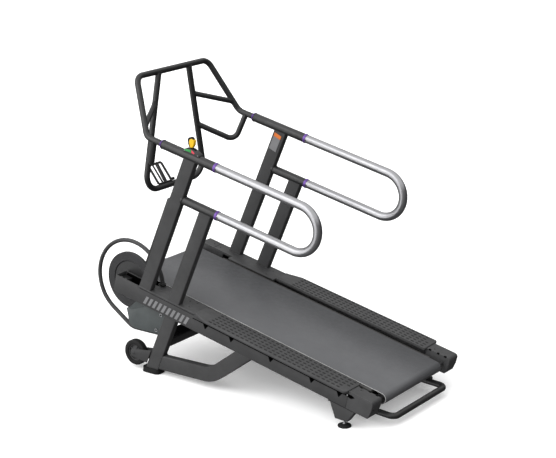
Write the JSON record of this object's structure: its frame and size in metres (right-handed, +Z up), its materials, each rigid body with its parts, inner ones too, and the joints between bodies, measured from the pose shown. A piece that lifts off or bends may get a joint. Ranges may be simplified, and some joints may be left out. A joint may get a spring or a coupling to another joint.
{
  "type": "manual treadmill",
  "caption": "Manual treadmill with an inclined flat belt, side handrails ending in steel loops, a raised front frame, a flywheel in a hoop guard and a resistance lever.",
  "frame": {"origin": "on the floor, at the middle of the machine's length and width", "axes": "+X towards the rear end where the user steps on, +Y to the right of a user who faces -X, +Z up"},
  "size_m": [1.9323, 0.892, 1.6157],
  "materials": {
    "grey_paint": "satin powder coat, dark grey",
    "black_paint": "satin powder coat, near black",
    "grey_plastic": "moulded, fine texture",
    "belt_rubber": "matte, fine weave print",
    "black_rubber": "matte",
    "satin_steel": "satin polished",
    "bright_steel": "ground",
    "purple_anodised": "satin anodised",
    "flywheel_iron": "machined and painted, satin",
    "brake_cover": "satin, blue-grey",
    "deck_laminate": "waxed laminate",
    "yellow_plastic": "moulded, satin gloss"
  },
  "bodies": {
    "frame": {"side_rail_left": "grey_paint", "side_rail_right": "grey_paint", "front_post_left": "grey_paint", "front_post_right": "grey_paint", "rear_post_left": "grey_paint", "rear_post_right": "grey_paint", "front_leg_left": "grey_paint", "front_leg_right": "grey_paint", "brace_tube_left": "grey_paint", "brace_tube_right": "grey_paint", "flywheel_guard": "grey_paint", "wheel_bracket_left": "grey_paint", "wheel_bracket_right": "grey_paint", "foot_bracket_left": "grey_paint", "foot_bracket_right": "grey_paint", "deck_frame": "black_paint", "front_bearing_left": "black_paint", "front_bearing_right": "black_paint", "leg_cross_member": "black_paint", "upper_grip_left": "black_paint", "upper_grip_right": "black_paint", "lower_rail_left": "black_paint", "lower_rail_right": "black_paint", "front_loop": "black_paint", "inner_loop": "black_paint", "upper_brace_left": "black_paint", "upper_brace_right": "black_paint", "lower_brace_left": "black_paint", "lower_brace_right": "black_paint", "phone_rack": "black_paint", "shifter_housing": "black_paint", "rear_handle": "black_paint", "front_cover_left": "grey_plastic", "front_cover_right": "grey_plastic", "tread_strip_left": "grey_plastic", "tread_strip_right": "grey_plastic", "end_cap_left": "grey_plastic", "end_cap_right": "grey_plastic", "running_belt": "belt_rubber", "deck_board": "deck_laminate", "steel_loop_left": "satin_steel", "steel_loop_right": "satin_steel", "collar_front_left": "purple_anodised", "collar_front_right": "purple_anodised", "collar_upper_left": "purple_anodised", "collar_upper_right": "purple_anodised", "collar_lower_left": "purple_anodised", "collar_lower_right": "purple_anodised", "brake_housing": "brake_cover", "foot_pad_left": "black_rubber", "foot_pad_right": "black_rubber"},
    "flywheel_shaft": {"front_roller": "bright_steel", "flywheel": "flywheel_iron"},
    "rear_roller": {"rear_roller": "bright_steel"},
    "resistance_lever": {"resistance_lever": "yellow_plastic"},
    "brake_magnet": {"brake_magnet": "bright_steel"},
    "transport_wheel_left": {"transport_wheel_left": "black_rubber"},
    "transport_wheel_right": {"transport_wheel_right": "black_rubber"},
    "leveling_foot_left": {"leveling_foot_left": "black_rubber"},
    "leveling_foot_right": {"leveling_foot_right": "black_rubber"}
  },
  "joints": [
    {"name": "front_roller_spin", "type": "hinge", "parent": "frame", "child": "flywheel_shaft", "pos_m": [-0.7172, 0, 0.4645], "axis": [0, 1, 0], "continuous": true},
    {"name": "rear_roller_spin", "type": "hinge", "parent": "frame", "child": "rear_roller", "pos_m": [0.8788, 0, 0.138], "axis": [0, 1, 0], "continuous": true},
    {"name": "lever_tilt", "type": "hinge", "parent": "frame", "child": "resistance_lever", "pos_m": [-0.2127, -0.394, 1.2861], "axis": [0, 1, 0], "range_deg": [-28, 24]},
    {"name": "magnet_tilt", "type": "hinge", "parent": "frame", "child": "brake_magnet", "pos_m": [-0.5302, -0.318, 0.245], "axis": [0, 1, 0], "range_deg": [-3.2, 3.2]},
    {"name": "transport_wheel_left_spin", "type": "hinge", "parent": "frame", "child": "transport_wheel_left", "pos_m": [-0.6232, -0.396, 0.09], "axis": [0, 1, 0], "continuous": true},
    {"name": "transport_wheel_right_spin", "type": "hinge", "parent": "frame", "child": "transport_wheel_right", "pos_m": [-0.6232, 0.396, 0.09], "axis": [0, 1, 0], "continuous": true},
    {"name": "leveling_foot_left_height", "type": "slide", "parent": "frame", "child": "leveling_foot_left", "axis": [0, 0, 1], "range_m": [-0.015, 0]},
    {"name": "leveling_foot_right_height", "type": "slide", "parent": "frame", "child": "leveling_foot_right", "axis": [0, 0, 1], "range_m": [-0.015, 0]}
  ],
  "couplings": [
    {"joint": "rear_roller_spin", "follows": "front_roller_spin", "ratio": 1.431},
    {"joint": "magnet_tilt", "follows": "lever_tilt", "ratio": 0.1}
  ]
}
